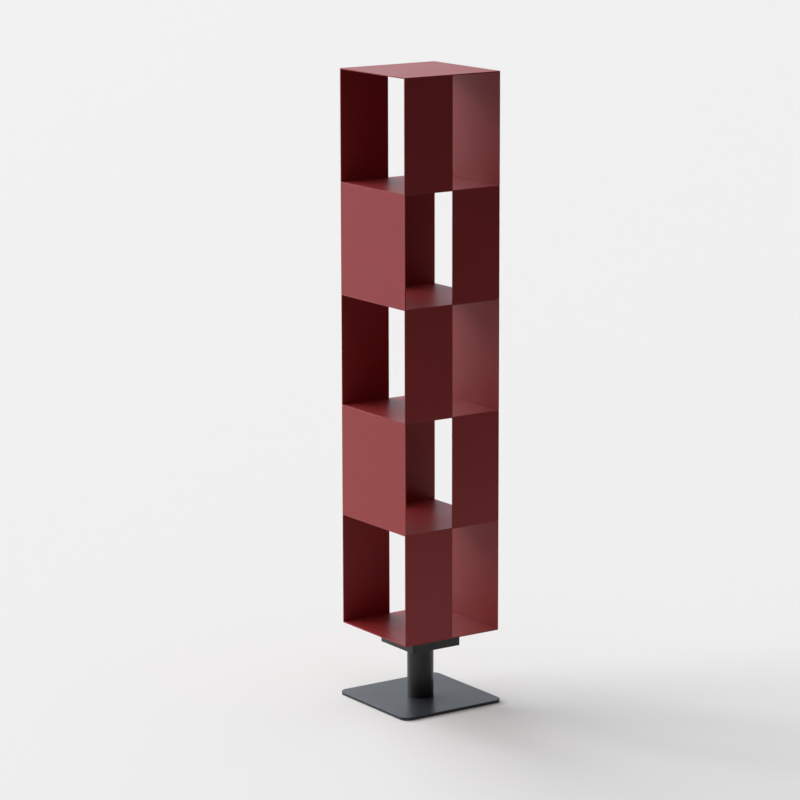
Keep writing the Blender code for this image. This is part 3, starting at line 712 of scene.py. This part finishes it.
thread_bore = THREAD_RADIUS + FIT
washer_rows = ring_rows(washer_high.x, thread_bore, washer_low.z, washer_high.z, WASHER_EDGE)
show_for(skinned("spindle_washer_stamped", [washer_rows], zinc, closed=True), "spindle_washer")

nut_rows = hexagon_nut(nut_low, nut_high, thread_bore)
show_for(skinned("spindle_nut_milled", [nut_rows], zinc, closed=True), "spindle_nut")


# Flange: a thick square of plate steel with its edges broken, pressed on the upper end of the spindle. The
# tower's weight comes down through it, and four studs with nuts hold it to the bottom plate.
FLANGE_CORNER = 0.002
FLANGE_EDGE = 0.0008

flange_rows = pierced(*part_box("spindle_flange"), FLANGE_EDGE, FLANGE_CORNER, bush_bore, HOLE_EDGE)
flange = skinned("spindle_flange_cut", [flange_rows], bar_steel, closed=True)
stud_drills = []
for name in numbered("flange_stud"):
    low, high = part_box(name)
    middle = (low + high) / 2
    stud_hole = high.x - middle.x + FIT
    reach = high.z - middle.z
    profile = [(stud_hole, -reach), (stud_hole, reach + DRILL_PAST)]
    stud_drills.append(drill(name, profile, UPRIGHT, middle))
drilled(flange, stud_drills)
show_for(flange, "spindle_flange")


# Swivel cover: a tray of 2 mm sheet, folded on four sides with its corners welded and ground, and coated
# black. It hangs upside down on the studs, between the flange and the bottom plate, and hides the bearing.
COVER_SHEET = 0.002
COVER_BEND = 0.003  # outside radius of the folds
COVER_BEND_STEPS = 8
COVER_CORNER = 0.003  # outside radius of the welded corners
COVER_EDGE = 0.0004

low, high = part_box("swivel_cover")
under = high.z - COVER_SHEET
wall_end = low.z + COVER_BEND
inner_fold = [(COVER_BEND, under), (COVER_SHEET, under), (COVER_SHEET, wall_end)]
outer_fold = [(0, wall_end), (0, high.z), (COVER_BEND, high.z)]
inner_bend = softened(inner_fold, COVER_BEND)
outer_bend = softened(outer_fold, COVER_BEND, steps=COVER_BEND_STEPS)
inner_bend[:, 2] = 0.0  # the folds keep their paint and get no painted highlight
outer_bend[:, 2] = 0.0
rim_profile = [(COVER_SHEET, wall_end), (COVER_SHEET, low.z), (0, low.z), (0, wall_end)]
cover_profile = np.vstack([inner_bend[:-1], softened(rim_profile, COVER_EDGE), outer_bend[1:]])
cover = skinned("swivel_cover_folded", [carried_round(cover_profile, high.xy, COVER_CORNER)], black_coat)
drilled(cover, stud_drills)
put_away(stud_drills)
show_for(cover, "swivel_cover")


# Studs and nuts: four threaded M8 studs of zinc-plated steel, welded by their wider feet to the underside of
# the bottom plate. They go down through the cover and the flange, and a nut holds both on each of them.
STUD_FOOT = 0.001
STUD_CHAMFER = 0.0005

for name in numbered("flange_stud"):
    low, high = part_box(name)
    middle = (low + high) / 2
    foot_low = high.z - STUD_FOOT
    foot_radius = high.x - middle.x
    thread_rows = threaded(M8_RADIUS, low.z, foot_low, M8_PITCH, M8_DEPTH, STUD_CHAMFER)
    foot_rows = turned(sharp([(foot_radius, foot_low), (foot_radius, high.z)]))
    rows = placed(np.vstack([thread_rows, foot_rows]), UPRIGHT, (middle.x, middle.y, 0))
    show_for(skinned(f"{name}_threaded", [rows], zinc), name)
for name in numbered("flange_nut"):
    rows = hexagon_nut(*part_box(name), M8_RADIUS + FIT)
    show_for(skinned(f"{name}_milled", [rows], zinc, closed=True), name)


# Bottom plate: a square of 3 mm sheet steel under the lowest tier, coated red with the rest of the tower.
# Nothing goes through it: the cover and the flange hang on the studs that are welded under it.
SHEET_EDGE = 0.0004
SHEET_CORNER = 0.0008
SHEET_CORNER_STEPS = 4
SHEET_LEDGE = 0.9 * SHEET_CORNER  # of the edge on the faces; it ends short of the corners' centres
X, Y, Z = range(3)  # the axes of a box
RED = (0.290, 0.028, 0.031)
# Lighter edge colour: partly wear, partly a painted highlight.
RED_WORN_AND_GLINT = (0.330, 0.050, 0.055)
RED_INDEX = 1.36
RED_ROUGHNESS = 0.42
RED_PEEL = 420.0  # bumps per metre


def sheet_rows(low, high, axis):
    """Rows of a flat sheet that fills a box, with its thickness along one axis: the section of its edge,
    carried round its outline, with the axes turned in step so that its faces still point out."""
    order = np.roll([X, Y, Z], -axis - 1)
    middle = (np.array(low) + high) / 2
    half = (np.array(high) - low) / 2
    thick = half[axis]
    section = [(SHEET_LEDGE, -thick), (0, -thick), (0, thick), (SHEET_LEDGE, thick)]
    edge = softened(section, SHEET_EDGE)
    flat = carried_round(edge, half[order[:2]], SHEET_CORNER, SHEET_CORNER_STEPS)
    rows = flat.copy()
    rows[..., order] = flat[..., :3] + middle[order]
    return rows


red_coat = powder_coat("red_powder_coat", RED, RED_WORN_AND_GLINT, RED_INDEX, RED_ROUGHNESS, RED_PEEL)
bottom_plate = skinned("bottom_plate_coated", [sheet_rows(*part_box("bottom_plate"), Z)], red_coat)
show_for(bottom_plate, "bottom_plate")


# Tiers: in each, one full panel and two half panels of 3 mm sheet stand between two square plates, welded
# to them, with the joints ground flush before coating. Each second tier is turned half round.
plates = ["bottom_plate", *numbered("shelf_plate"), "top_plate"]
for name in plates[1:]:
    show_for(skinned(f"{name}_coated", [sheet_rows(*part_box(name), Z)], red_coat), name)
for tier, (floor_plate, roof_plate) in enumerate(zip(plates[:-1], plates[1:]), start=1):
    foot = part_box(floor_plate)[1].z
    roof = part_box(roof_plate)[0].z
    for name, axis in ((f"full_panel_{tier}", X), (f"half_panel_{tier}a", Y), (f"half_panel_{tier}b", Y)):
        low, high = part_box(name)
        low.z, high.z = foot, roof
        show_for(skinned(f"{name}_coated", [sheet_rows(low, high, axis)], red_coat), name)


# Studio: a pale floor that passes into the backdrop at a black flag, which the camera doesn't see and which
# keeps the pale room's light off the shelf's right side. Six far soft lamps light the shelf from above, from
# behind and from the left, and a dim world fills its shadows.
FLOOR_HALF = 120.0
FLOOR_FADE = 0.4  # width of the strip before the flag that passes into the backdrop
FLOOR_PALE = (0.815, 0.815, 0.815, 1.0)
FLAG_DISTANCE = 1.75
FLAG_HALF = 5.0
FLAG_HEIGHT = 3.0
FLAG_BLACK = (0.02, 0.02, 0.02, 1.0)
STAGE_ROUGHNESS = 0.9
STAGE_SPECULAR = 0.1
WARM = (1.0, 0.982, 0.962)
COOL = (0.86, 1.0, 1.17)
AMBIENT = (0.08, 0.08, 0.08, 1.0)
BACKDROP = (0.84, 0.84, 0.84, 1.0)
MIRRORED = 0.5  # of the backdrop's light, in reflections


def stage_sheet(name, corners, colour):
    """A matt sheet of one colour between four corners, which isn't part of the shelf."""
    finish, shader, _ = new_finish(name)
    shader.inputs["Base Color"].default_value = colour
    shader.inputs["Roughness"].default_value = STAGE_ROUGHNESS
    shader.inputs["Specular IOR Level"].default_value = STAGE_SPECULAR
    mesh = bpy.data.meshes.new(name)
    mesh.from_pydata(corners, [], [(0, 1, 2, 3)])
    mesh.materials.append(finish)
    sheet = bpy.data.objects.new(name, mesh)
    bpy.context.scene.collection.objects.link(sheet)
    sheet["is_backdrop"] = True
    return sheet


def soft_lamp(name, tint, level, softness, elevation, azimuth):
    """A far lamp that looks as wide as its softness in degrees. Its level is what a white sheet that faces
    it would show. Its elevation is in degrees too, and so is its azimuth, which counts from +X towards
    +Y."""
    lamp = bpy.data.lights.new(name, "SUN")
    lamp.energy = level * math.pi
    lamp.color = tint
    lamp.angle = math.radians(softness)
    holder = bpy.data.objects.new(name, lamp)
    holder.rotation_euler = (0.0, math.radians(90 - elevation), math.radians(azimuth))
    bpy.context.scene.collection.objects.link(holder)


def backdrop_share(shade):
    """How much of the backdrop a ray shows: all of it to the camera, straight or through something clear,
    a part of it in reflections, and none where it would light the shelf."""
    camera_ray = shade.node("LightPath", {}, {}, output="Is Camera Ray")
    clear_ray = shade.node("LightPath", {}, {}, output="Is Transmission Ray")
    glossy_ray = shade.node("LightPath", {}, {}, output="Is Glossy Ray")
    return camera_ray + clear_ray + MIRRORED * glossy_ray


flag_line = -FLAG_DISTANCE
floor_corners = [(-FLOOR_HALF, flag_line, 0), (FLOOR_HALF, flag_line, 0),
                 (FLOOR_HALF, FLOOR_HALF, 0), (-FLOOR_HALF, FLOOR_HALF, 0)]
floor = stage_sheet("studio_floor", floor_corners, FLOOR_PALE)
floor_tree = floor.data.materials[0].node_tree
matt = Shade(floor_tree, floor_tree.nodes["Principled BSDF"].outputs["BSDF"])
glow = matt.node("Emission", {}, {"Color": BACKDROP})
across = matt.node("SeparateXYZ", {}, {"Vector": matt.place()}, output="Y")
fade = matt.node("MapRange", {"interpolation_type": "SMOOTHSTEP"},
                 {"Value": across, "From Min": flag_line + FLOOR_FADE, "From Max": flag_line})
faded = matt.node("MixShader", {}, {0: backdrop_share(matt) * fade, 1: matt, 2: glow})
faded.into(floor_tree.nodes["Material Output"], "Surface")
flag_corners = [(-FLAG_HALF, flag_line, 0), (FLAG_HALF, flag_line, 0),
                (FLAG_HALF, flag_line, FLAG_HEIGHT), (-FLAG_HALF, flag_line, FLAG_HEIGHT)]
flag = stage_sheet("studio_flag", flag_corners, FLAG_BLACK)
flag.visible_camera = False
flag.visible_shadow = False

soft_lamp("top_softbox", WARM, level=0.334, softness=70, elevation=90, azimuth=0)
soft_lamp("back_softbox", COOL, level=0.260, softness=70, elevation=20, azimuth=90)
soft_lamp("back_key", WARM, level=0.470, softness=40, elevation=35, azimuth=90)
soft_lamp("left_window", WARM, level=0.243, softness=12, elevation=20, azimuth=120)
soft_lamp("left_softbox", WARM, level=0.216, softness=40, elevation=15, azimuth=130)
soft_lamp("left_fill", WARM, level=0.277, softness=40, elevation=35, azimuth=145)

world = bpy.data.worlds.new("studio")
world.use_nodes = True
bpy.context.scene.world = world
sky = Shade(world.node_tree)
sky.blend(backdrop_share(sky), AMBIENT, BACKDROP).into(world.node_tree.nodes["Background"], "Color")


# Camera: at the photograph's place, above and to the left of the shelf's near corner, with a long lens. Its
# place and its angles are those that lay the shelf's edges on the photograph's.
IMAGE_PIXELS = 800
FOCAL_PIXELS = 3342
SENSOR_WIDTH = 36.0  # millimetres
CAMERA_PLACE = (-5.2533, -7.6378, 2.7948)
CAMERA_YAW = math.radians(55.831)  # from +X towards +Y
CAMERA_TILT = math.radians(11.6888)  # downwards
CAMERA_ROLL = math.radians(-0.1345)
FAR_CLIP = 300.0

camera_data = bpy.data.cameras.new("camera")
camera_data.sensor_width = SENSOR_WIDTH
camera_data.lens = SENSOR_WIDTH * FOCAL_PIXELS / IMAGE_PIXELS
camera_data.clip_end = FAR_CLIP
camera = bpy.data.objects.new("camera", camera_data)
bpy.context.scene.collection.objects.link(camera)
camera.matrix_world = (
    Matrix.Translation(CAMERA_PLACE)
    @ Matrix.Rotation(CAMERA_YAW - math.pi / 2, 4, "Z")
    @ Matrix.Rotation(math.pi / 2 - CAMERA_TILT, 4, "X")
    @ Matrix.Rotation(CAMERA_ROLL, 4, "Z")
)
bpy.context.scene.camera = camera
bpy.context.scene.view_settings.view_transform = "Standard"


# Sizes: the box of the plain solids and the box of what is shown, side by side, because the looks
# don't change the size.
boxes = {"cad": cad_box, "visual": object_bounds()}
{name: [list(corner) for corner in box] for name, box in boxes.items()}
